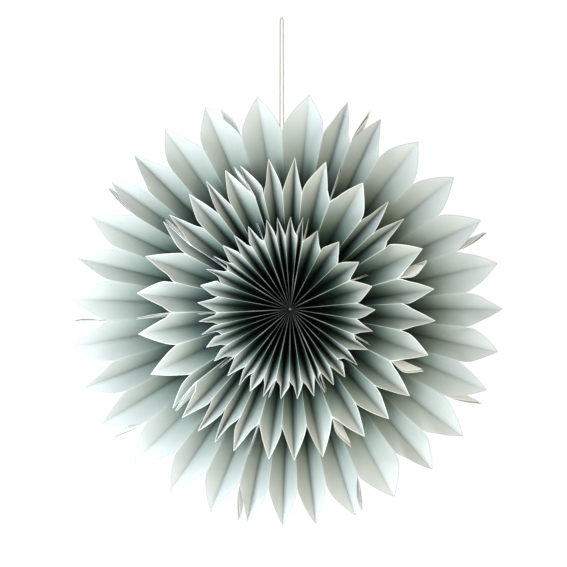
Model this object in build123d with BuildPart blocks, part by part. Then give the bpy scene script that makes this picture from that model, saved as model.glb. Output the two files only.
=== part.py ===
from build123d import *
import os
from math import cos, radians, sin, sqrt, tan

# A hanging paper rosette of three tiers. Each tier is a ring of nine pleated paper strips, glued end to end.
# One long side of each strip is cut to leaf points, so that its open pleats look like petals.
# Millimetres. +Z is up and the front faces -Y. The origin is where a hook carries the hanging cord.

# Paper and pleats, alike in the three tiers
paper = 0.14
pleat = 25.0
glue_flap = 23.5
glue_film = 0.04
fold_width = 0.2
gather_radius = 2.1
tier_clearance = 0.5

# Tiers
outer_tip_radius = 225.0
outer_notch_radius = 186.0
middle_tip_radius = 155.0
middle_notch_radius = 119.0
inner_tip_radius = 93.0
inner_notch_radius = 73.0

# Centre thread and hanging cord
thread_diameter = 1.0
knot_radius = 2.4
knot_chamfer = 1.2
knot_clearance = 0.1
cord_diameter = 1.4
cord_drop = 121.0
hook_radius = 0.75
notch_bend_radius = 6.0
cord_behind_ridge = 2.4

# A leaf's cut edge: at these shares of the way from its notch to its point, how far it has come in
leaf_shares = (0.3, 0.56, 0.77, 0.92)
outer_leaf_roundness = 1.6
middle_leaf_roundness = 1.5
inner_leaf_roundness = 1.25
# The least depth of a widely spread panel as a share of its width, where between hub and notch an edge has its
# middle point, and how far a glued flap steps aside
flattest_share = 0.3
mid_share = 0.5
lean_share = 1.4

# Where the folds of each strip stand at the notches, in degrees clockwise from the top as the front shows them.
# Ridge and petal take turns up to a last ridge, beside which the next strip's first ridge stands.
outer_fold_angles = (
    (-15.7, -8.7, -2.7, 5.2, 10.6, 15.6, 19.9),
    (19.9, 25.6, 30.4, 37.5, 44.5, 51.2, 57.8, 65.1, 71.0),
    (71.0, 77.6, 84.7, 90.0, 95.9, 101.6, 107.2, 112.4, 119.3),
    (119.3, 126.3, 132.7, 138.4, 143.8, 150.9, 157.9),
    (157.9, 162.4, 168.4, 173.1, 177.7, 181.9, 186.9, 191.3, 196.2),
    (196.2, 201.3, 207.2, 213.1, 218.5, 225.3, 231.8),
    (231.8, 238.4, 243.4, 248.8, 253.6, 260.0, 266.2),
    (266.2, 272.8, 279.0, 283.5, 289.5, 295.0, 301.0),
    (301.0, 305.4, 309.6, 314.6, 319.6, 325.3, 331.5, 337.3, 344.3),
)
middle_fold_angles = (
    (-17.4, -19.2, -13.1, -8.1, -3.7, 1.9, 5.8, 13.7, 20.2),
    (20.2, 30.0, 38.7, 42.5, 47.6, 51.6, 57.2, 65.5, 74.2),
    (74.2, 82.1, 87.1, 94.6, 100.7, 108.4, 117.4),
    (117.4, 126.0, 132.0, 138.0, 145.2, 149.6, 158.8),
    (158.8, 167.5, 171.9, 178.4, 184.1, 188.0, 195.2),
    (195.2, 201.6, 204.8, 209.4, 213.1, 217.0, 221.0, 224.8, 232.2),
    (232.2, 229.8, 236.9, 244.9, 252.6, 260.6, 268.3),
    (268.3, 275.9, 283.1, 290.0, 297.9, 304.6, 302.8),
    (302.8, 308.0, 313.1, 318.7, 323.1, 326.8, 330.6, 335.0, 342.6),
)
inner_fold_angles = (
    (-21.0, -14.7, -11.0, -7.9, -3.8, 0.3, 5.6, 8.0, 10.6),
    (10.6, 19.2, 27.5, 35.9, 46.2, 55.6, 64.2),
    (64.2, 74.4, 84.7, 90.3, 98.4, 104.8, 111.5),
    (111.5, 117.5, 125.0, 129.6, 136.2, 140.9, 145.2, 150.0, 154.5),
    (154.5, 157.2, 160.0, 164.6, 171.2, 175.4, 180.6, 185.9, 191.5),
    (191.5, 197.1, 201.2, 205.9, 210.0, 213.8, 218.1, 223.1, 229.6),
    (229.6, 235.6, 240.6, 245.5, 249.6, 253.9, 258.1, 262.3, 267.3),
    (267.3, 274.0, 280.0, 284.8, 290.6, 295.5, 302.0),
    (302.0, 304.8, 308.5, 313.5, 318.1, 322.8, 328.5, 333.3, 339.0),
)
# Where the doubled flaps stand that are glued together after each strip, in degrees
outer_flap_angles = (22.2, 68.6, 116.2, 160.4, 193.5, 234.0, 266.6, 303.7, 340.9)
middle_flap_angles = (19.8, 70.5, 114.6, 155.8, 195.9, 228.2, 266.4, 305.8, 338.7)
inner_flap_angles = (12.0, 66.0, 113.7, 155.9, 193.4, 230.2, 266.9, 303.2, 338.7)
# How far each strip's notches and leaf points reach, as shares of its tier's own radii
outer_reach_shares = (1.01, 0.99, 1.0, 1.01, 1.02, 1.03, 1.035, 1.03, 1.03)
middle_reach_shares = (1.03, 0.99, 0.99, 1.005, 1.03, 1.04, 1.045, 1.045, 1.04)
inner_reach_shares = (1.04, 0.94, 0.96, 0.985, 1.015, 1.03, 1.035, 1.045, 1.045)

FULL_TURN = 360
KNOT_SIDES = 8
CORD_SIDES = 8
# The points of a fold or of any other straight edge of a panel, in their order
HUB, MIDDLE, NOTCH, TIP = range(4)

# Each tier with its place behind the middle one, in tiers
tier_pitch = pleat + tier_clearance
tiers = (
    ("outer", 1, outer_tip_radius, outer_notch_radius, outer_leaf_roundness),
    ("middle", 0, middle_tip_radius, middle_notch_radius, middle_leaf_roundness),
    ("inner", -1, inner_tip_radius, inner_notch_radius, inner_leaf_roundness),
)
tier_angles = {
    "outer": (outer_fold_angles, outer_flap_angles, outer_reach_shares),
    "middle": (middle_fold_angles, middle_flap_angles, middle_reach_shares),
    "inner": (inner_fold_angles, inner_flap_angles, inner_reach_shares),
}


def standing_depth(width, first, second, radius):
    """How deep a panel of this width stands at a radius, when its two edges are spread this far apart."""
    spread = radius * radians(abs(second - first))
    return sqrt(max(width**2 - spread**2, (flattest_share * width) ** 2))


def fold_depths(strips, number, notch_radius):
    """How far each fold of a strip stands before (-) or behind (+) its tier's middle, at the notches."""
    turn_back = 0 if number else FULL_TURN
    turn_on = 0 if number + 1 < len(strips) else FULL_TURN
    before, after = strips[number - 1][-2] - turn_back, strips[number + 1 - len(strips)][1] + turn_on
    azimuths = (before, *strips[number], after)
    depths = [standing_depth(pleat, a, b, notch_radius) for a, b in zip(azimuths, azimuths[1:])]
    return [(1 if place % 2 else -1) * (a + b) / 4 for place, (a, b) in enumerate(zip(depths, depths[1:]))]


# The cord hangs plumb over a ridge of the back tier, so the hub lies a little to one side of it
cord_ridge_number = 2
cord_azimuth = radians(outer_fold_angles[0][cord_ridge_number])
cord_ridge_depth = tier_pitch + fold_depths(outer_fold_angles, 0, outer_notch_radius)[cord_ridge_number]
hub_x = -outer_notch_radius * sin(cord_azimuth)
hub_y = -cord_ridge_depth - cord_behind_ridge
hub_z = -cord_drop - outer_notch_radius * cos(cord_azimuth)


def on_rosette(azimuth, radius, depth, aside=0.0):
    """A point by its azimuth, its distance from the hub, its depth behind the middle and a step aside."""
    turn = radians(azimuth)
    x = radius * sin(turn) + aside * cos(turn)
    z = radius * cos(turn) - aside * sin(turn)
    return Vector(hub_x + x, hub_y + depth, hub_z + z)


def edge_line(
    hub_azimuth, hub_depth, azimuth, depth, aside, tier_notch_radius, notch_radius, tip_radius
):
    """A panel's straight edge as four points: at the hub, half way, at its notch and at the leaf points."""
    hub = on_rosette(hub_azimuth, gather_radius, hub_depth)
    whole = on_rosette(azimuth, tier_notch_radius, depth, aside) - hub
    notch, tip = [
        hub + whole * ((radius - gather_radius) / (tier_notch_radius - gather_radius))
        for radius in (notch_radius, tip_radius)
    ]
    return [hub, hub + (notch - hub) * mid_share, notch, tip]


def normals(first, second):
    """The way the printed side faces between two edges, at each of their points."""
    along = (first[NOTCH] + second[NOTCH]) - (first[HUB] + second[HUB])
    return [(b - a).cross(along).normalized() for a, b in zip(first, second)]


def mitre(first, second):
    """The step from a fold to where the skins of its two sides meet, for skins one unit off the middle."""
    return (first + second) / (1 + first.dot(second))


def moved(edge, steps, amount):
    """An edge's points, each moved by its own step times the amount."""
    return [point + step * amount for point, step in zip(edge, steps)]


def band(first, second):
    """Triangles that fill the space between two lines of as many points."""
    faces = []
    for a, b, c, d in zip(first, first[1:], second, second[1:]):
        faces += [Face(Wire.make_polygon([a, b, d])), Face(Wire.make_polygon([a, d, c]))]
    return faces


def leaf_edge(ridge, valley, leaf_roundness):
    """The cut edge of a leaf, from the notch to its point."""
    notch, root, tip = ridge[NOTCH], valley[NOTCH], valley[TIP]
    inner = []
    for share in leaf_shares:
        inner.append(root + (tip - root) * share + (notch - root) * (1 - share**leaf_roundness))
    return [notch, *inner, tip]


def strip_panels(
    azimuths, depths, flaps, tier_depth, tier_notch_radius, notch_radii, tip_radius, hub_start, hub_turn
):
    """The two edges of each panel of a strip, from its first flap to its last."""
    flap_step = lean_share * (paper + glue_film) / 2
    last = len(azimuths) - 1
    panels = []

    def edge(panel, is_ridge, azimuth, notch_depth, aside, notch_radius):
        hub_depth = tier_depth + (-pleat / 2 if is_ridge else pleat / 2)
        hub_azimuth = hub_start + (2 * panel + 1) * hub_turn / 2
        depth = tier_depth + notch_depth
        return edge_line(
            hub_azimuth, hub_depth, azimuth, depth, aside, tier_notch_radius, notch_radius, tip_radius
        )

    def flap_edge(panel, ridge_place, azimuth, aside):
        reach = standing_depth(glue_flap, azimuths[ridge_place], azimuth, tier_notch_radius)
        line = edge(panel, False, azimuth, depths[ridge_place] + reach, aside, notch_radii[ridge_place])
        line[HUB] = line[HUB] - Vector(0, pleat - glue_flap, 0)
        return line

    asides = [0.0] * len(azimuths)
    asides[0], asides[last] = flap_step + fold_width / 2, -flap_step - fold_width / 2
    first = edge(0, True, azimuths[0], depths[0], flap_step, notch_radii[0])
    panels.append((flap_edge(0, 0, flaps[0], flap_step), first))
    for place in range(last):
        pair = []
        for fold, side in ((place, 1), (place + 1, -1)):
            is_ridge = fold % 2 == 0
            aside = asides[fold] + side * fold_width / 2
            pair.append(edge(place + 1, is_ridge, azimuths[fold], depths[fold], aside, notch_radii[fold]))
        panels.append(tuple(pair))
    closing = edge(last + 1, True, azimuths[last], depths[last], -flap_step, notch_radii[last])
    panels.append((closing, flap_edge(last + 1, last, flaps[1], -flap_step)))
    return panels


def folded_sheet(panels, leaf_roundness):
    """The closed solid of one pleated strip: both skins of its panels and folds, and the rim between them."""
    facing = [normals(first, second) for first, second in panels]
    folds = [normals(a[1], b[0]) for a, b in zip(panels, panels[1:])]
    before, after = [facing[0], *folds], [*folds, facing[-1]]
    skins = []
    for amount in (paper / 2, -paper / 2):
        skin = []
        for (first, second), own, left, right in zip(panels, facing, before, after):
            left_steps = [mitre(a, b) for a, b in zip(own, left)]
            right_steps = [mitre(a, b) for a, b in zip(own, right)]
            skin.append((moved(first, left_steps, amount), moved(second, right_steps, amount)))
        skins.append(skin)
    faces = []
    rim = []
    for skin in skins:
        outline = []
        for number, (first, second) in enumerate(skin):
            ridge, valley = (second, first) if number % 2 == 0 else (first, second)
            leaf = leaf_edge(ridge, valley, leaf_roundness)
            faces += band(ridge[:TIP], valley[:TIP])
            faces.append(Face(Wire.make_polygon([valley[NOTCH], *leaf])))
            outline += leaf[::-1] if number % 2 == 0 else leaf
        for number, (left, right) in enumerate(zip(skin, skin[1:])):
            end = TIP if number % 2 else NOTCH
            faces += band(left[1][: end + 1], right[0][: end + 1])
        hub = [point for first, second in skin for point in (first[HUB], second[HUB])]
        first_edge, last_edge = skin[0][0], skin[-1][1]
        rim.append([*outline, *last_edge[NOTCH:HUB:-1], *hub[::-1], *first_edge[MIDDLE:]])
    faces += band(*rim)
    return Solid(Shell(faces))


# The pleated strips of the three tiers, each one folded sheet
os.makedirs("parts", exist_ok=True)
for tier, place, tip_radius, notch_radius, leaf_roundness in tiers:
    strips, flaps, reach_shares = tier_angles[tier]
    panel_counts = [len(azimuths) + 1 for azimuths in strips]
    hub_turn = FULL_TURN / sum(panel_counts)
    for number, azimuths in enumerate(strips):
        hub_start = strips[0][0] + sum(panel_counts[:number]) * hub_turn
        own_flaps = (flaps[number - 1] - (0 if number else FULL_TURN), flaps[number])
        depths = fold_depths(strips, number, notch_radius)
        before, own = reach_shares[number - 1], reach_shares[number]
        after = reach_shares[number + 1 - len(strips)]
        notch_radii = [notch_radius * own] * len(azimuths)
        notch_radii[0], notch_radii[-1] = notch_radius * (before + own) / 2, notch_radius * (own + after) / 2
        depth, own_tip = place * tier_pitch, tip_radius * own
        panels = strip_panels(
            azimuths, depths, own_flaps, depth, notch_radius, notch_radii, own_tip, hub_start, hub_turn
        )
        with BuildPart() as strip:
            add(folded_sheet(panels, leaf_roundness), clean=False)
        strip.part.label = f"{tier}_strip_{number + 1}"
        export_step(strip.part, f"parts/{strip.part.label}.step")

# The centre thread: a knot against the front pleats, the thread through the hub, and a knot at the back
knot_seat = gather_radius - knot_clearance - (knot_radius - knot_chamfer)
knot_depth = tier_pitch + pleat / 2 + knot_radius - knot_seat
hub_plane = Plane((hub_x, hub_y, hub_z), x_dir=(1, 0, 0), z_dir=(0, -1, 0))
with BuildPart() as centre_thread:
    with BuildSketch(hub_plane.offset(knot_depth - knot_radius), hub_plane.offset(-knot_depth - knot_radius)):
        RegularPolygon(knot_radius, KNOT_SIDES)
    extrude(amount=2 * knot_radius)
    chamfer(centre_thread.faces().filter_by(Axis.Y).edges(), length=knot_chamfer)
    with BuildSketch(hub_plane.offset(-knot_depth)):
        RegularPolygon(thread_diameter / 2, KNOT_SIDES)
    extrude(amount=2 * knot_depth)
centre_thread.part.label = "centre_thread"
export_step(centre_thread.part, "parts/centre_thread.step")

# The hanging cord, a loop over the hook whose two ends are knotted together at the back of the hub.
# It runs up the channel behind one ridge, bends over the paper at the notch and hangs straight from the hook.
cord_route = [
    (8.0, 18.5, -299.3),
    (-1.9, 0.0, -121.0),
    (-1.5, 0.0, 0.7),
    (1.5, 0.0, 0.7),
    (1.9, 0.0, -121.0),
    (9.5, 18.5, -299.3),
]
hook_bend = hook_radius + cord_diameter / 2
cord_bends = [notch_bend_radius, hook_bend, hook_bend, notch_bend_radius]
with BuildPart() as hanging_cord:
    with BuildLine() as cord_line:
        FilletPolyline(*cord_route, radius=cord_bends)
    with BuildSketch(Plane(cord_line.wire() @ 0, z_dir=cord_line.wire() % 0)):
        RegularPolygon(cord_diameter / 2, CORD_SIDES, major_radius=False)
    sweep()
hanging_cord.part.label = "hanging_cord"
export_step(hanging_cord.part, "parts/hanging_cord.step")
cord_section = CORD_SIDES * (cord_diameter / 2) ** 2 * tan(radians(FULL_TURN / CORD_SIDES / 2))
print("cord bends", cord_bends, "length", round(cord_line.wire().length, 1))
cord_by_section = cord_section * cord_line.wire().length
print("cord volume", round(hanging_cord.part.volume, 1), "section times length", round(cord_by_section, 1))

# The cord's knot lies on the back pleats, just above the centre thread's knot
cord_knot_y = hub_y + tier_pitch + (pleat + paper) / 2 + knot_radius + knot_clearance
cord_knot_foot = hub_z + knot_radius + knot_clearance
with BuildPart() as cord_knot:
    with BuildSketch(Plane.XY.offset(cord_knot_foot)):
        with Locations((hub_x, cord_knot_y)):
            RegularPolygon(knot_radius, KNOT_SIDES)
    extrude(amount=2 * knot_radius)
    chamfer(cord_knot.faces().filter_by(Axis.Z).edges(), length=knot_chamfer)
cord_knot.part.label = "cord_knot"
export_step(cord_knot.part, "parts/cord_knot.step")
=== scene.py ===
from math import cos, pi, radians, sin, sqrt
from random import Random

import bpy
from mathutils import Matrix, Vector


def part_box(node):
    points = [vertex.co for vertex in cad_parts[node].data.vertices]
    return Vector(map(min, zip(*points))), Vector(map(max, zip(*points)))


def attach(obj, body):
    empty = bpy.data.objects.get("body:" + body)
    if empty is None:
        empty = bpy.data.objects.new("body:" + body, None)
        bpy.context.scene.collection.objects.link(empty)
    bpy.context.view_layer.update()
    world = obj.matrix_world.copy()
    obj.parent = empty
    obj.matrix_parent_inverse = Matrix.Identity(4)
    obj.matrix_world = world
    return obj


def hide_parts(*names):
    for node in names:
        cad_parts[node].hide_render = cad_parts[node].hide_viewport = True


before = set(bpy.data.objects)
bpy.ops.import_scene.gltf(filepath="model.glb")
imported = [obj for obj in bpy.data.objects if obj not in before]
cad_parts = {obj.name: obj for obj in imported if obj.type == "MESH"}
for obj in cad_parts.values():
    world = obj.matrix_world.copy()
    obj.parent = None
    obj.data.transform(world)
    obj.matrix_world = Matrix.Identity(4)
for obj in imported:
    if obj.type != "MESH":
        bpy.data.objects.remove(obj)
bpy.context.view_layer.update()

# The photographer's stand: a long lens, level with the rosette and straight in front of it, as far off as a
# small product studio allows, so that the three tiers keep their true sizes beside each other.
picture_width = 0.5988
lens_distance = 4.0
picture_middle = (0.0019, 0.0, -0.2799)
sensor_width = 36.0

lens = bpy.data.cameras.new("long_lens")
lens.sensor_width = sensor_width
lens.lens = sensor_width * lens_distance / picture_width
lens.clip_end = 60
camera = bpy.data.objects.new("camera", lens)
camera.location = (picture_middle[0], -lens_distance, picture_middle[2])
camera.rotation_euler = (pi / 2, 0, 0)
bpy.context.scene.collection.objects.link(camera)
bpy.context.scene.camera = camera
bpy.context.scene.view_settings.view_transform = "Standard"


# The hanging cord: a limp cotton string, looped over the hook. Its two ends run down behind one ridge of the
# back tier to their knot. It is twisted from three strands, so its outline is a row of small waves.
cord_thickness = 0.0014
cord_lay_length = 0.0036
cord_step = cord_lay_length / 7
strand_facets = 7
strand_thickness = 0.5 * cord_thickness
cord_points = (
    (0.0080, 0.0185, -0.2993),
    (0.0072, 0.0170, -0.2850),
    (-0.0012, 0.0013, -0.1335),
    (-0.0019, 0.0000, -0.1210),
    (-0.0019, 0.0000, -0.1090),
    (-0.0016, 0.0000, -0.0085),
    (-0.0015, 0.0000, 0.0007),
    (0.0015, 0.0000, 0.0007),
    (0.0016, 0.0000, -0.0085),
    (0.0019, 0.0000, -0.1090),
    (0.0019, 0.0000, -0.1210),
    (0.0027, 0.0017, -0.1365),
    (0.0089, 0.0170, -0.2850),
    (0.0095, 0.0185, -0.2993),
)


class Shade:
    """A value in a material's nodes. Sums and products of such values add the Math nodes they need."""

    def __init__(self, tree, socket=None):
        self.tree = tree
        self.socket = socket

    def node(self, kind, settings, inputs, output=0):
        """Adds a node of this type: its settings first, then the values or links of its sockets."""
        made = self.tree.nodes.new(kind)
        for name, value in settings.items():
            if name == "stops":
                ramp = made.color_ramp
                while len(ramp.elements) < len(value):
                    ramp.elements.new(1)
                for element, (place, colour) in zip(ramp.elements, value):
                    element.position = place
                    element.color = (*colour, 1)
            else:
                setattr(made, name, value)
        for name, value in inputs.items():
            if isinstance(value, Shade):
                self.tree.links.new(value.socket, made.inputs[name])
            else:
                made.inputs[name].default_value = value
        return Shade(self.tree, made.outputs[output] if made.outputs else None)

    def maths(self, operation, first, second):
        return self.node("ShaderNodeMath", {"operation": operation}, {0: first, 1: second})

    def __add__(self, other):
        return self.maths("ADD", self, other)

    def __sub__(self, other):
        return self.maths("SUBTRACT", self, other)

    def __rsub__(self, other):
        return self.maths("SUBTRACT", other, self)

    def __mul__(self, other):
        return self.maths("MULTIPLY", self, other)

    def __truediv__(self, other):
        return self.maths("DIVIDE", self, other)

    def mixed(self, share, other):
        """This colour with a share of the other one over it."""
        inputs = {0: share, 6: self, 7: other}
        return self.node("ShaderNodeMix", {"data_type": "RGBA"}, inputs, 2)

    def noise(self, scale, detail):
        """Soft noise at this place, with so many grains a metre."""
        return self.node("ShaderNodeTexNoise", {}, {"Vector": self, "Scale": scale, "Detail": detail})

    def attribute(self, name):
        """A number that the mesh carries at each point."""
        return self.node("ShaderNodeAttribute", {"attribute_name": name}, {}, 2)


def ink(red, green, blue):
    """A colour as a printer's swatch gives it, from 0 to 255, in the linear light that shaders take."""
    shares = [level / 255 for level in (red, green, blue)]
    return tuple(v / 12.92 if v <= 0.04045 else ((v + 0.055) / 1.055) ** 2.4 for v in shares)


def new_material(name):
    """An empty material with its surface shader and the value to start its sums from."""
    material = bpy.data.materials.new(name)
    material.use_nodes = True
    tree = material.node_tree
    tree.nodes.clear()
    return material, Shade(tree)


def finish_material(shade, surface):
    """Joins the finished surface to the material's output."""
    shade.node("ShaderNodeOutputMaterial", {}, {"Surface": surface})


def mesh_piece(name, points, faces, materials, face_materials=None):
    """A smooth piece from its points and faces, which rides with the rosette."""
    mesh = bpy.data.meshes.new(name)
    mesh.from_pydata([tuple(p) for p in points], [], faces)
    for material in materials:
        mesh.materials.append(material)
    if face_materials:
        mesh.polygons.foreach_set("material_index", face_materials)
    mesh.polygons.foreach_set("use_smooth", [True] * len(faces))
    mesh.update()
    piece = bpy.data.objects.new(name, mesh)
    bpy.context.scene.collection.objects.link(piece)
    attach(piece, "root")
    return piece


def cotton(name, colour, dirt_and_shade, fibre_size):
    """Spun cotton: short fibres with painted shade where they lie deep, and broad patches a little dirty."""
    material, start = new_material(name)
    place = start.node("ShaderNodeTexCoord", {}, {}, 3)
    fibres = place.noise(1 / fibre_size, 4.0)
    patches = place.noise(60.0, 2.0)
    base = start.node("ShaderNodeRGB", {}, {})
    base.socket.default_value = (*ink(*colour), 1)
    # Painted shade on the fibre noise, real soiling on the broad patches.
    soiled_and_shaded = base.mixed(fibres * 0.5 + patches * 0.25, (*ink(*dirt_and_shade), 1))
    dents = start.node("ShaderNodeBump", {}, {"Strength": 0.5, "Distance": 0.0002, "Height": fibres})
    surface = start.node("ShaderNodeBsdfPrincipled", {}, {
        "Base Color": soiled_and_shaded, "Roughness": fibres * 0.15 + 0.8, "Normal": dents,
        "Sheen Weight": 0.25, "Specular IOR Level": 0.2,
    })
    finish_material(start, surface)
    return material


def smooth_line(points):
    """The points that a limp line follows through its control points, read from a NURBS curve."""
    curve = bpy.data.curves.new("route", "CURVE")
    curve.dimensions = "3D"
    curve.resolution_u = 40
    spline = curve.splines.new("NURBS")
    spline.points.add(len(points) - 1)
    for knot, point in zip(spline.points, points):
        knot.co = (*point, 1)
    spline.order_u = 3
    spline.use_endpoint_u = True
    route = bpy.data.objects.new("route", curve)
    mesh = bpy.data.meshes.new_from_object(route)
    line = [v.co.copy() for v in mesh.vertices]
    bpy.data.objects.remove(route)
    bpy.data.meshes.remove(mesh)
    return line


def evenly(line, step):
    """The same line as points a step apart."""
    result = [line[0]]
    carried = 0.0
    for a, b in zip(line, line[1:]):
        length = (b - a).length
        while carried + length >= step:
            part = (step - carried) / length
            a = a.lerp(b, part)
            length = (b - a).length
            carried = 0.0
            result.append(a)
        carried += length
    return [*result, line[-1]]


def frames_along(line):
    """A side and an upward direction at each point of a line, which turn no more than the line does."""
    along = [(b - a).normalized() for a, b in zip(line, line[1:])]
    along.append(along[-1])
    side = along[0].orthogonal().normalized()
    frames = []
    for direction in along:
        side = (side - direction * side.dot(direction)).normalized()
        frames.append((side, direction.cross(side)))
    return frames


def twisted_strands(name, line, thickness, strand, lay_length, facets, material):
    """A cord of three strands that wind round its line. Each strand is a tube with closed ends."""
    frames = frames_along(line)
    points, faces = [], []
    for first in (0.0, 2 * pi / 3, 4 * pi / 3):
        base = len(points)
        travelled = 0.0
        for number, (middle, (side, up)) in enumerate(zip(line, frames)):
            if number:
                travelled += (middle - line[number - 1]).length
            turn = first + 2 * pi * travelled / lay_length
            out = side * cos(turn) + up * sin(turn)
            aside = up * cos(turn) - side * sin(turn)
            centre = middle + out * (thickness - strand) / 2
            for facet in range(facets):
                angle = 2 * pi * facet / facets
                points.append(centre + (out * cos(angle) + aside * sin(angle)) * strand / 2)
        for number in range(len(line) - 1):
            for facet in range(facets):
                after = (facet + 1) % facets
                a, b = base + number * facets, base + (number + 1) * facets
                faces.append((a + facet, a + after, b + after, b + facet))
        faces.append(tuple(range(base + facets - 1, base - 1, -1)))
        last = base + (len(line) - 1) * facets
        faces.append(tuple(range(last, last + facets)))
    return mesh_piece(name, points, faces, [material])


cord_cotton = cotton("cord_cotton", (198, 192, 183), (132, 124, 112), 0.0009)
cord_line = evenly(smooth_line(cord_points), cord_step)
cord = twisted_strands(
    "cord", cord_line, cord_thickness, strand_thickness, cord_lay_length, strand_facets, cord_cotton
)
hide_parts("hanging_cord")


# The cord's knot: both ends laid together and tied in one overhand knot, pulled tight against the back
# pleats, with short cut ends. Its cord is pulled a little thinner than elsewhere.
knot_low, knot_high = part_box("cord_knot")
knot_middle = Vector(((low + high) / 2 for low, high in zip(knot_low, knot_high)))
knot_size = 0.0022
knot_reach = knot_size * 0.8
knot_turns = 2.5
knot_tail = 0.0014
knot_axis = Vector((0.35, 0.1, -0.93)).normalized()
knot_step = 0.0004
tied_thickness = cord_thickness * 0.9


def wound_knot(middle, size, turns, tail, axis):
    """The line of a small tight knot: a few turns over each other and two short tails."""
    across = axis.orthogonal().normalized()
    upward = axis.cross(across)
    line = [middle + axis * (-size - tail) + across * size * 0.3, middle - axis * size * 0.7]
    steps = int(10 * turns)
    for number in range(steps + 1):
        share = number / steps
        turn = 2 * pi * turns * share
        reach = size * (0.25 + 0.6 * share)
        along = middle + axis * size * (share - 0.5) * 0.9
        line.append(along + across * reach * cos(turn) + upward * reach * sin(turn))
    return [*line, middle + axis * size * 0.8, middle + axis * (size + tail) - across * size * 0.4]


knot_turn_line = wound_knot(knot_middle, knot_reach, knot_turns, knot_tail, knot_axis)
knot_line = evenly(smooth_line(knot_turn_line), knot_step)
cord_knot = twisted_strands(
    "tied_ends", knot_line, tied_thickness, strand_thickness, cord_lay_length, strand_facets, cord_cotton
)
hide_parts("cord_knot")


# The back tier: nine strips of heavy paper, printed on one side from near black at the gathered edge to pale
# grey at the points, pleated, cut to leaf points along the other edge and glued flap to flap into a ring.
# Every fold stands by its azimuth at the notches, in degrees clockwise from the top.
hub = Vector((0.00876, -0.02211, -0.30679))
paper = 0.00014
pleat = 0.025
glue_flap = 0.0235
glue_film = 0.00004
fold_width = 0.0002
gather_radius = 0.0013
tier_pitch = 0.0255
flattest_share = 0.3
lean_share = 1.4
back_roundness = 1.6
back_tip = 0.225
back_notch = 0.186
back_folds = (
    (-15.7, -8.7, -2.7, 5.2, 10.6, 15.6, 19.9),
    (19.9, 25.6, 30.4, 37.5, 44.5, 51.2, 57.8, 65.1, 71.0),
    (71.0, 77.6, 84.7, 90.0, 95.9, 101.6, 107.2, 112.4, 119.3),
    (119.3, 126.3, 132.7, 138.4, 143.8, 150.9, 157.9),
    (157.9, 162.4, 168.4, 173.1, 177.7, 181.9, 186.9, 191.3, 196.2),
    (196.2, 201.3, 207.2, 213.1, 218.5, 225.3, 231.8),
    (231.8, 238.4, 243.4, 248.8, 253.6, 260.0, 266.2),
    (266.2, 272.8, 279.0, 283.5, 289.5, 295.0, 301.0),
    (301.0, 305.4, 309.6, 314.6, 319.6, 325.3, 331.5, 337.3, 344.3),
)
back_flaps = (22.2, 68.6, 116.2, 160.4, 193.5, 234.0, 266.6, 303.7, 340.9)
back_reach = (1.01, 0.99, 1.0, 1.01, 1.02, 1.03, 1.035, 1.03, 1.03)
back_lean = (0.03, 0.05, 0.0, 0.03, 0.0, 0.03, 0.25, 0.03, 0.5)

# Where a panel's mesh has its columns, as shares of the way from ridge to valley, and how many rows run from
# the hub to the cut edge. A band a margin wide along that edge takes an edge colour instead of the print:
# the core's white on the front and middle tiers, and a grey painted shade on the back tier.
columns = (0.0, 0.008, 0.03, 0.08, 0.15, 0.25, 0.36, 0.48, 0.6, 0.72, 0.83, 0.92, 0.985, 1.0)
row_count = 32
steep_columns = 0.1
cut_margin = 0.0011
backward = Vector((0, 1, 0))

# The print, by the share of the way from the hub to the points, and what shows where it is cut or creased.
# The print's darker stops near the hub also hold the painted shadow that the middle tier casts on this one.
back_print_and_shadow = (
    (0, (14, 21, 18)), (0.43, (34, 46, 40)), (0.56, (63, 75, 68)), (0.62, (92, 104, 96)),
    (0.68, (121, 130, 122)), (0.75, (144, 150, 144)), (0.82, (163, 166, 162)), (0.88, (178, 180, 177)),
    (0.94, (192, 193, 191)), (1, (205, 205, 205)),
)
reverse_colour = (246, 246, 243)
core_colour = (240, 241, 238)
fibre_colour = (206, 198, 180)
tooth_colour = (235, 236, 232)
fold_shade_colour = (30, 36, 33)
# The back tier's cut-edge band is a grey painted shade of the curled edge.
back_edge_shade_colour = (160, 162, 160)


def on_rosette(azimuth, radius, depth, aside=0.0):
    """A point by its azimuth, its distance from the hub, its depth and a step aside."""
    turn = radians(azimuth)
    x = radius * sin(turn) + aside * cos(turn)
    z = radius * cos(turn) - aside * sin(turn)
    return hub + Vector((x, depth, z))


def standing_depth(width, first, second, radius):
    """How deep a panel stands at a radius, when its two edges are spread this far apart."""
    spread = radius * radians(abs(second - first))
    return sqrt(max(width**2 - spread**2, (flattest_share * width) ** 2))


def fold_depths(strips, number, notch_radius):
    """How far each fold stands before (-) or behind (+) its tier's middle, at the notches."""
    turn_back = 0 if number else 360
    turn_on = 0 if number + 1 < len(strips) else 360
    before, after = strips[number - 1][-2] - turn_back, strips[number + 1 - len(strips)][1] + turn_on
    azimuths = (before, *strips[number], after)
    depths = [standing_depth(pleat, a, b, notch_radius) for a, b in zip(azimuths, azimuths[1:])]
    return [(1 if place % 2 else -1) * (a + b) / 4 for place, (a, b) in enumerate(zip(depths, depths[1:]))]


def straight_fold(start, notch, notch_radius):
    """Where a fold that runs straight through these two points stands at any radius."""
    reach = notch_radius - gather_radius
    return lambda radius: start + (notch - start) * ((radius - gather_radius) / reach)


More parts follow.
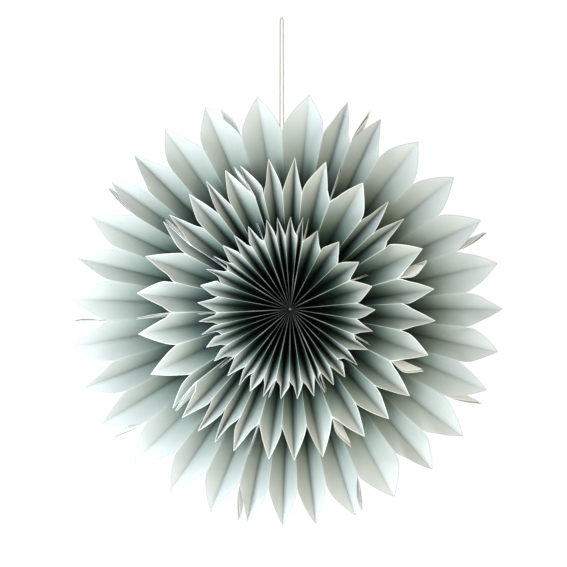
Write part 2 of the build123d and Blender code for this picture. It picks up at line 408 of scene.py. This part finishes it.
def strip_folds(strips, number, flaps, depth, notch_radius, hub_start, hub_turn):
    """The ridge and valley of each panel of a strip, from first flap to last, as lines from the hub."""
    azimuths, depths = strips[number], fold_depths(strips, number, notch_radius)
    flap_step = lean_share * (paper + glue_film) / 2
    last = len(azimuths) - 1

    def line(panel, azimuth, notch_depth, aside, hub_depth):
        start = on_rosette(hub_start + (2 * panel + 1) * hub_turn / 2, gather_radius, depth + hub_depth)
        notch = on_rosette(azimuth, notch_radius, depth + notch_depth, aside)
        return straight_fold(start, notch, notch_radius)

    def flap_line(panel, place, azimuth, aside):
        reach = depths[place] + standing_depth(glue_flap, azimuths[place], azimuth, notch_radius)
        return line(panel, azimuth, reach, aside, glue_flap - pleat / 2)

    asides = [0.0] * len(azimuths)
    asides[0], asides[last] = flap_step + fold_width / 2, -flap_step - fold_width / 2
    opening = line(0, azimuths[0], depths[0], flap_step, -pleat / 2)
    panels = [(flap_line(0, 0, flaps[0], flap_step), opening)]
    for place in range(last):
        pair = []
        for fold, side in ((place, 1), (place + 1, -1)):
            is_ridge = fold % 2 == 0
            aside = asides[fold] + side * fold_width / 2
            hub_depth = -pleat / 2 if is_ridge else pleat / 2
            pair.append(line(place + 1, azimuths[fold], depths[fold], aside, hub_depth))
        panels.append(tuple(pair))
    closing = line(last + 1, azimuths[last], depths[last], -flap_step, -pleat / 2)
    panels.append((closing, flap_line(last + 1, last, flaps[1], -flap_step)))
    return panels


def eased(value):
    """From 0 to 1 with a soft start and end."""
    value = min(max(value, 0.0), 1.0)
    return value * value * (3 - 2 * value)


def leaf_profile(notch_radius, tip_radius, width, leaf_roundness):
    """The cut edge laid flat, as (distance from the valley, radius), and the line a margin inside it."""
    edge = []
    for column in columns:
        radius = notch_radius + (tip_radius - notch_radius) * column ** (1 / leaf_roundness)
        edge.append((width * (1 - column), radius))
    inner = [(width, notch_radius - cut_margin)]
    for number in range(1, len(edge)):
        x, y = edge[number]
        before, after = edge[number - 1], edge[min(number + 1, len(edge) - 1)]
        run, rise = before[0] - after[0], after[1] - before[1]
        length = sqrt(run * run + rise * rise)
        if columns[number] < steep_columns:
            inner.append((x - cut_margin * rise / length, y - cut_margin * run / length))
        else:
            inner.append((x, y - cut_margin * length / run))
    return edge, inner


def panel_grid(ridge, valley, notch_radius, tip_radius, leaf_roundness, habit):
    """The rows of each column of a panel, from its ridge to its valley, with what the print reads at a point:
    whether it is at the cut edge, how far it is from the valley, and its share of the way to that edge."""
    ridge_notch, valley_notch = ridge(notch_radius), valley(notch_radius)
    width = (ridge_notch - valley_notch).length
    edge, inner = leaf_profile(notch_radius, tip_radius, width, leaf_roundness)
    face = (ridge_notch - valley_notch).cross(valley(tip_radius) - valley_notch).normalized()
    if face.y > 0:
        face = -face
    outward = (valley_notch - hub).normalized()
    sideways = backward.cross(outward).normalized()
    grid = []
    for number, column in enumerate(columns):
        x_foot = width * (1 - column)
        x_end, y_end = inner[number]
        rows = []
        for row in range(row_count + 1):
            share = row / row_count
            x_row = x_foot + (x_end - x_foot) * share**6
            rows.append((x_row, gather_radius + (y_end - gather_radius) * share**0.85, 0.0))
        x_edge, y_edge = edge[number]
        rows.append((x_end + (x_edge - x_end) * 0.3, y_end + (y_edge - y_end) * 0.3, 1.0))
        rows.append((x_edge, y_edge, 1.0))
        made = []
        for x, y, cut in rows:
            on_valley = valley(y)
            on_ridge = ridge(y) if y < notch_radius else ridge_notch + (on_valley - valley_notch)
            share = x / width
            point = on_valley.lerp(on_ridge, share)
            spread = min(y / notch_radius, 1.0)
            bowed = habit["bow"] * sin(pi * min(share, 1.0)) * spread**1.6
            start = notch_radius - habit["slant"] * (1 - share)
            opened = x * habit["opening"] * eased((y - start) / habit["softness"])
            beyond = max(y - notch_radius, 0.0) / (tip_radius - notch_radius)
            leant = eased((y - notch_radius) / habit["lean_softness"])
            leaning = x * habit["lean"] * leant + habit["splay"] * beyond**2
            curled = backward * habit["curl"] * beyond**2
            point = point + face * (bowed - opened) + sideways * leaning + curled
            made.append((point, cut, x, y / y_edge))
        grid.append(made)
    return grid


def paper_piece(name, panels, notch_radii, tip_radius, leaf_roundness, habits, tone, materials):
    """One pleated strip as a closed sheet: the printed skin, the plain skin and the cut edge between them."""
    strip_columns = []
    wear_and_shade = []
    for number, (first, second) in enumerate(panels):
        ridge, valley = (second, first) if number % 2 == 0 else (first, second)
        ridge_place = number // 2 * 2
        grid = panel_grid(ridge, valley, notch_radii[ridge_place], tip_radius, leaf_roundness, habits[number])
        # The crease mark of each column: 1 on a ridge for rubbing, -1 on a valley for painted shade.
        fold = [1.0, *[0.0] * (len(columns) - 2), -1.0]
        strip_columns += grid[::-1] if number % 2 == 0 else grid
        wear_and_shade += fold[::-1] if number % 2 == 0 else fold
    rows = len(strip_columns[0])
    middle = [[values[0] for values in column] for column in strip_columns]
    count = len(middle)

    def normal(c, r):
        left, right = middle[max(c - 1, 0)][r], middle[min(c + 1, count - 1)][r]
        low, high = middle[c][max(r - 1, 0)], middle[c][min(r + 1, rows - 1)]
        return (right - left).cross(high - low).normalized()

    steps = [[normal(c, r) for r in range(rows)] for c in range(count)]
    points, faces, face_materials = [], [], []
    for side in (-1, 1):
        for c in range(count):
            for r in range(rows):
                points.append(middle[c][r] + steps[c][r] * (side * paper / 2))
    skin = count * rows

    def at(side, c, r):
        return side * skin + c * rows + r

    for c in range(count - 1):
        for r in range(rows - 1):
            a, b, d, e = (c, r), (c + 1, r), (c + 1, r + 1), (c, r + 1)
            for corners in ((a, b, d), (a, d, e)):
                faces.append(tuple(at(1, *corner) for corner in corners))
                faces.append(tuple(at(0, *corner) for corner in corners[::-1]))
                face_materials += [0, 1]
    outline = [(c, rows - 1) for c in range(count)] + [(count - 1, r) for r in range(rows - 2, -1, -1)]
    outline += [(c, 0) for c in range(count - 2, -1, -1)] + [(0, r) for r in range(1, rows - 1)]
    for a, b in zip(outline, outline[1:] + outline[:1]):
        faces.append((at(1, *a), at(1, *b), at(0, *b), at(0, *a)))
        face_materials.append(2)
    piece = mesh_piece(name, points, faces, materials, face_materials)
    piece.data.polygons.foreach_set("use_smooth", [finish != 2 for finish in face_materials])
    for kind, values in (
        ("cut", [[values[1] for values in column] for column in strip_columns]),
        ("from_fold", [[values[2] for values in column] for column in strip_columns]),
        ("reach", [[values[3] for values in column] for column in strip_columns]),
        ("crease", [[crease] * rows for crease in wear_and_shade]),
        ("fade", [[tone[0]] * rows for _ in wear_and_shade]),
        ("paleness", [[tone[1]] * rows for _ in wear_and_shade]),
    ):
        made = piece.data.attributes.new(kind, "FLOAT", "POINT")
        made.data.foreach_set("value", [value for _ in (0, 1) for column in values for value in column])
    return piece


def printed_and_shaded_paper(
    name, stops, tip_radius, follow, edge_share, edge_colour, worn_ridge, fold_shade_share, fold_shade_width
):
    """The printed side: matt ink that thins out towards the points, with the paper's tooth showing through.
    Each sheet was inked by itself, so fade and paleness come with the strip. Valleys get painted shade."""
    material, start = new_material(name)
    place = start.node("ShaderNodeTexCoord", {}, {}, 3)
    from_hub = start.node("ShaderNodeVectorMath", {"operation": "SUBTRACT"}, {0: place, 1: hub})
    flat = start.node("ShaderNodeVectorMath", {"operation": "MULTIPLY"}, {0: from_hub, 1: (1.0, 0.0, 1.0)})
    radius = start.node("ShaderNodeVectorMath", {"operation": "LENGTH"}, {0: flat}, 1)
    drift = place.noise(22.0, 2.0)
    fade = start.attribute("fade")
    paleness = start.attribute("paleness")
    reach = start.attribute("reach")
    share = radius * ((1 - follow) / tip_radius) + reach * follow + fade + (drift - 0.5) * 0.05
    ramp = [(reached, ink(*tone)) for reached, tone in stops]
    inked = start.node("ShaderNodeValToRGB", {"stops": ramp}, {0: share})
    colour = start.node("ShaderNodeHueSaturation", {}, {"Color": inked, "Value": paleness})
    tooth = place.noise(1500.0, 3.0)
    cloud = place.noise(260.0, 3.0)
    grain = colour.mixed(((tooth - 0.5) * 0.2 + (cloud - 0.5) * 0.15) * share, (*ink(*tooth_colour), 1))
    cut = start.attribute("cut")
    crease = start.attribute("crease")
    rubbing = place.noise(45.0, 1.0)
    on_ridge = start.maths("MAXIMUM", crease, 0.0) * start.maths("MINIMUM", share * 2.5, 1.0)
    ridge_wear = on_ridge * (rubbing * 1.6 - 0.15) * worn_ridge
    # Painted shade: beside each valley and on the valley fold, darker towards the hub, as shade in the pleat
    from_fold = start.attribute("from_fold")
    near_fold = start.maths("MAXIMUM", 1.0 - from_fold / fold_shade_width, 0.0)
    painted_fold_shade = near_fold * near_fold * (1.1 - share) * fold_shade_share
    valley_shade = start.maths("MAXIMUM", crease * -1.0, 0.0) * (1.25 - share) * 0.15 + painted_fold_shade
    # The cut-edge band; on the back tier its grey is painted shade.
    edged = grain.mixed(cut * edge_share, (*ink(*edge_colour), 1))
    rubbed = edged.mixed(ridge_wear, (*ink(*core_colour), 1))
    worn_and_shaded = rubbed.mixed(valley_shade, (*ink(*fold_shade_colour), 1))
    relief = {"Strength": 0.25, "Distance": 0.0001, "Height": tooth + cloud * 1.5}
    dents = start.node("ShaderNodeBump", {}, relief)
    surface = start.node("ShaderNodeBsdfPrincipled", {}, {
        "Base Color": worn_and_shaded, "Roughness": cloud * 0.12 + 0.62, "Normal": dents, "Specular IOR Level": 0.06,
    })
    finish_material(start, surface)
    return material


def plain_paper(name, colour):
    """Unprinted paper: white with short pressed fibres of a warmer shade."""
    material, start = new_material(name)
    place = start.node("ShaderNodeTexCoord", {}, {}, 3)
    fibres = place.noise(900.0, 4.0)
    cloud = place.noise(90.0, 2.0)
    base = start.node("ShaderNodeRGB", {}, {})
    base.socket.default_value = (*ink(*colour), 1)
    mottled = base.mixed(fibres * 0.12 + cloud * 0.10, (*ink(*fibre_colour), 1))
    dents = start.node("ShaderNodeBump", {}, {"Strength": 0.3, "Distance": 0.0001, "Height": fibres})
    surface = start.node("ShaderNodeBsdfPrincipled", {}, {
        "Base Color": mottled, "Roughness": fibres * 0.1 + 0.75, "Normal": dents, "Specular IOR Level": 0.25,
    })
    finish_material(start, surface)
    return material


reverse_paper = plain_paper("reverse_paper", reverse_colour)
paper_core = plain_paper("paper_core", core_colour)


# How far hand folding differs from leaf to leaf, for a strip as tall as the back tier's where it is a length in
# metres, and how far inking differs from sheet to sheet
curl_range = (-0.0015, 0.0025)
shift_range = (-0.2, 0.2)
bow_range = (-0.0004, 0.0012)
slant_range = (0.010, 0.035)
softness_range = (0.012, 0.03)
flap_parting = 0.03
flap_softness = 0.15
flap_splay = 0.0005
fade_range = (-0.02, 0.02)
paleness_range = (0.93, 1.07)


def pleated_tier(
    tier, depth, notch_radius, tip_radius, leaf_roundness, strips, flaps, reaches, leans, printed, seed
):
    """The nine strips of a tier, each with its own small habits of hand folding and its own inking."""
    hand, inking = Random(seed), Random(seed + 1)
    panel_counts = [len(azimuths) + 1 for azimuths in strips]
    hub_turn = 360 / sum(panel_counts)
    scale = tip_radius / back_tip
    for number in range(len(strips)):
        own_flaps = (flaps[number - 1] - (0 if number else 360), flaps[number])
        hub_start = strips[0][0] + sum(panel_counts[:number]) * hub_turn
        panels = strip_folds(strips, number, own_flaps, depth, notch_radius, hub_start, hub_turn)
        before, own, after = [reaches[neighbour % len(strips)] for neighbour in range(number - 1, number + 2)]
        notch_radii = [notch_radius * own] * len(strips[number])
        notch_radii[0], notch_radii[-1] = notch_radius * (before + own) / 2, notch_radius * (own + after) / 2
        habits = []
        curl, shift = 0.0, 0.0
        for panel in range(len(panels)):
            is_first, is_last = panel == 0, panel == len(panels) - 1
            if panel % 2:
                curl = hand.uniform(*curl_range)
            else:
                shift = hand.uniform(*shift_range)
            opening = shift * (1 if panel % 2 else -1)
            if panel in (1, len(panels) - 2):
                opening = -abs(opening)
            habits.append({
                "bow": 0.0 if is_first or is_last else hand.uniform(*bow_range) * scale,
                "opening": 0.0 if is_first or is_last else opening,
                "slant": hand.uniform(*slant_range) * scale,
                "softness": hand.uniform(*softness_range) * scale,
                "curl": curl,
                "lean": leans[number - 1] + flap_parting if is_first else (
                    leans[number] - flap_parting if is_last else 0.0
                ),
                "lean_softness": flap_softness * tip_radius,
                "splay": flap_splay if is_first else -flap_splay if is_last else 0.0,
            })
        tone = (inking.uniform(*fade_range), inking.uniform(*paleness_range))
        piece = paper_piece(
            f"{tier}_paper_{number + 1}", panels, notch_radii, tip_radius * own, leaf_roundness, habits,
            tone, [printed, reverse_paper, paper_core],
        )
        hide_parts(f"{tier}_strip_{number + 1}")


back_printed_and_shaded = printed_and_shaded_paper(
    "outer_print_and_shade", back_print_and_shadow, back_tip, follow=0.3, edge_share=0.5, edge_colour=back_edge_shade_colour,
    worn_ridge=0.0, fold_shade_share=0.9, fold_shade_width=0.007,
)
pleated_tier(
    "outer", tier_pitch, back_notch, back_tip, back_roundness, back_folds, back_flaps, back_reach, back_lean,
    back_printed_and_shaded, seed=11,
)


# The middle tier: the same paper and print on a narrower strip, so its ombre runs out over a shorter way and
# its leaves are narrower and stiffer. It is held between the other two by the centre thread alone.
mid_tip = 0.155
mid_notch = 0.119
mid_folds = (
    (-17.4, -19.2, -13.1, -8.1, -3.7, 1.9, 5.8, 13.7, 20.2),
    (20.2, 30.0, 38.7, 42.5, 47.6, 51.6, 57.2, 65.5, 74.2),
    (74.2, 82.1, 87.1, 94.6, 100.7, 108.4, 117.4),
    (117.4, 126.0, 132.0, 138.0, 145.2, 149.6, 158.8),
    (158.8, 167.5, 171.9, 178.4, 184.1, 188.0, 195.2),
    (195.2, 201.6, 204.8, 209.4, 213.1, 217.0, 221.0, 224.8, 232.2),
    (232.2, 229.8, 236.9, 244.9, 252.6, 260.6, 268.3),
    (268.3, 275.9, 283.1, 290.0, 297.9, 304.6, 302.8),
    (302.8, 308.0, 313.1, 318.7, 323.1, 326.8, 330.6, 335.0, 342.6),
)
mid_flaps = (19.8, 70.5, 114.6, 155.8, 195.9, 228.2, 266.4, 305.8, 338.7)
mid_reach = (1.03, 0.99, 0.99, 1.005, 1.03, 1.04, 1.045, 1.045, 1.04)
mid_lean = (0.05, 0.42, 0.45, 0.28, 0.0, 0.03, 0.0, 0.0, 0.0)
mid_roundness = 1.5
# Its darker stops also hold the painted shadow that the front tier casts on this one.
mid_print_and_shadow = (
    (0, (22, 30, 26)), (0.5, (40, 54, 48)), (0.58, (59, 75, 68)), (0.64, (84, 97, 90)),
    (0.7, (112, 122, 115)), (0.76, (137, 145, 138)), (0.82, (160, 164, 159)), (0.88, (179, 181, 177)),
    (0.94, (193, 194, 190)), (1, (206, 205, 201)),
)
mid_printed_and_shaded = printed_and_shaded_paper(
    "middle_print_and_shade", mid_print_and_shadow, mid_tip, follow=0.35, edge_share=0.85, edge_colour=core_colour,
    worn_ridge=0.35, fold_shade_share=0.9, fold_shade_width=0.012,
)
pleated_tier(
    "middle", 0.0, mid_notch, mid_tip, mid_roundness, mid_folds, mid_flaps, mid_reach, mid_lean,
    mid_printed_and_shaded, seed=23,
)


# The front tier: the narrowest strip, whose pleats stand almost on edge round the hub. Its print is the
# darkest at the gather, and only the outer third of each leaf is pale.
front_tip = 0.093
front_notch = 0.073
front_folds = (
    (-21.0, -14.7, -11.0, -7.9, -3.8, 0.3, 5.6, 8.0, 10.6),
    (10.6, 19.2, 27.5, 35.9, 46.2, 55.6, 64.2),
    (64.2, 74.4, 84.7, 90.3, 98.4, 104.8, 111.5),
    (111.5, 117.5, 125.0, 129.6, 136.2, 140.9, 145.2, 150.0, 154.5),
    (154.5, 157.2, 160.0, 164.6, 171.2, 175.4, 180.6, 185.9, 191.5),
    (191.5, 197.1, 201.2, 205.9, 210.0, 213.8, 218.1, 223.1, 229.6),
    (229.6, 235.6, 240.6, 245.5, 249.6, 253.9, 258.1, 262.3, 267.3),
    (267.3, 274.0, 280.0, 284.8, 290.6, 295.5, 302.0),
    (302.0, 304.8, 308.5, 313.5, 318.1, 322.8, 328.5, 333.3, 339.0),
)
front_flaps = (12.0, 66.0, 113.7, 155.9, 193.4, 230.2, 266.9, 303.2, 338.7)
front_reach = (1.04, 0.94, 0.96, 0.985, 1.015, 1.03, 1.035, 1.045, 1.045)
front_lean = (0.05, 0.05, 0.03, 0.03, 0.0, 0.03, 0.03, 0.03, 0.0)
front_roundness = 1.25
front_print = (
    (0, (4, 7, 6)), (0.28, (5, 11, 8)), (0.41, (10, 21, 16)), (0.53, (26, 43, 35)),
    (0.62, (59, 76, 68)), (0.7, (104, 116, 109)), (0.77, (147, 156, 150)), (0.84, (181, 186, 181)),
    (0.92, (204, 205, 202)), (1, (220, 219, 216)),
)
front_printed_and_shaded = printed_and_shaded_paper(
    "inner_print_and_shade", front_print, front_tip, follow=0.35, edge_share=0.9, edge_colour=core_colour,
    worn_ridge=0.42, fold_shade_share=1.1, fold_shade_width=0.018,
)
pleated_tier(
    "inner", -tier_pitch, front_notch, front_tip, front_roundness, front_folds, front_flaps, front_reach,
    front_lean, front_printed_and_shaded, seed=37,
)


# The centre thread: white sewing thread passed through all three gathers and knotted hard against the front
# and the back, so that only a white dot shows from the front.
thread_white = cotton("thread_cotton", (252, 252, 250), (232, 230, 224), 0.0004)
thread_thickness = 0.0006
thread_strand = 0.6 * thread_thickness
thread_lay_length = 0.0016
thread_facets = 6
thread_step = 0.0003
thread_grip = 0.006
front_end, back_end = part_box("centre_thread")
front_knot = Vector((hub.x, front_end.y + 0.0010, hub.z))
back_knot = Vector((hub.x, back_end.y - 0.0022, hub.z))
front_turns = wound_knot(front_knot, size=0.0003, turns=1.5, tail=0.0002, axis=backward)
back_turns = wound_knot(back_knot, size=0.0016, turns=3.5, tail=0.0006, axis=backward)
thread_points = [*front_turns[:-1], front_knot + backward * thread_grip]
thread_points += [back_knot - backward * thread_grip, *back_turns[1:]]
thread_line = evenly(smooth_line(thread_points), thread_step)
thread = twisted_strands(
    "thread", thread_line, thread_thickness, thread_strand, thread_lay_length, thread_facets, thread_white
)
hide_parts("centre_thread")


# The studio: a pale floor well below the rosette, a white surround, and broad soft light from the front,
# a little below the hub's height, stronger and cooler from the left than from the right.
floor_height = -0.95
floor_reach = 3.5
floor_dark = (0.84, 0.84, 0.83, 1)
floor_light = (0.88, 0.88, 0.87, 1)
white = (1.0, 1.0, 1.0, 1.0)
sky_colour = (0.97, 0.99, 1.0, 1.0)

floor_paint, paint = new_material("floor_paint")
speckle = paint.node("ShaderNodeTexCoord", {}, {}, 3).noise(3.0, 4.0)
pale = paint.node("ShaderNodeMix", {"data_type": "RGBA"}, {0: speckle, 6: floor_dark, 7: floor_light}, 2)
finish_material(paint, paint.node("ShaderNodeBsdfPrincipled", {}, {"Base Color": pale, "Roughness": 0.85}))
floor_mesh = bpy.data.meshes.new("floor")
quarters = ((-1, -1), (1, -1), (1, 1), (-1, 1))
floor_corners = [(x * floor_reach, y * floor_reach, floor_height) for x, y in quarters]
floor_mesh.from_pydata(floor_corners, [], [(0, 1, 2, 3)])
floor_mesh.materials.append(floor_paint)
floor = bpy.data.objects.new("floor", floor_mesh)
bpy.context.scene.collection.objects.link(floor)

world = bpy.data.worlds.new("surround")
world.use_nodes = True
world.node_tree.nodes.clear()
surround = Shade(world.node_tree)
seen = surround.node("ShaderNodeLightPath", {}, {})
ambient = surround.node("ShaderNodeBackground", {}, {"Color": sky_colour, "Strength": 0.55})
backdrop = surround.node("ShaderNodeBackground", {}, {"Color": white, "Strength": 1.0})
sky = surround.node("ShaderNodeMixShader", {}, {0: seen, 1: ambient, 2: backdrop})
surround.node("ShaderNodeOutputWorld", {}, {"Surface": sky})
bpy.context.scene.world = world


def softbox(name, place, size, power, colour):
    """A square soft light that points at the rosette."""
    light = bpy.data.lights.new(name, "AREA")
    light.shape = "SQUARE"
    light.size = size
    light.energy = power
    light.color = colour
    lamp = bpy.data.objects.new(name, light)
    lamp.location = place
    lamp.rotation_euler = (hub - Vector(place)).to_track_quat("-Z", "Y").to_euler()
    bpy.context.scene.collection.objects.link(lamp)


softbox("left_light", (-0.68, -0.96, -0.38), size=0.9, power=21.0, colour=(0.79, 0.93, 1.0))
softbox("right_light", (1.0, -1.3, -0.38), size=1.0, power=10.5, colour=(1.0, 0.91, 0.62))
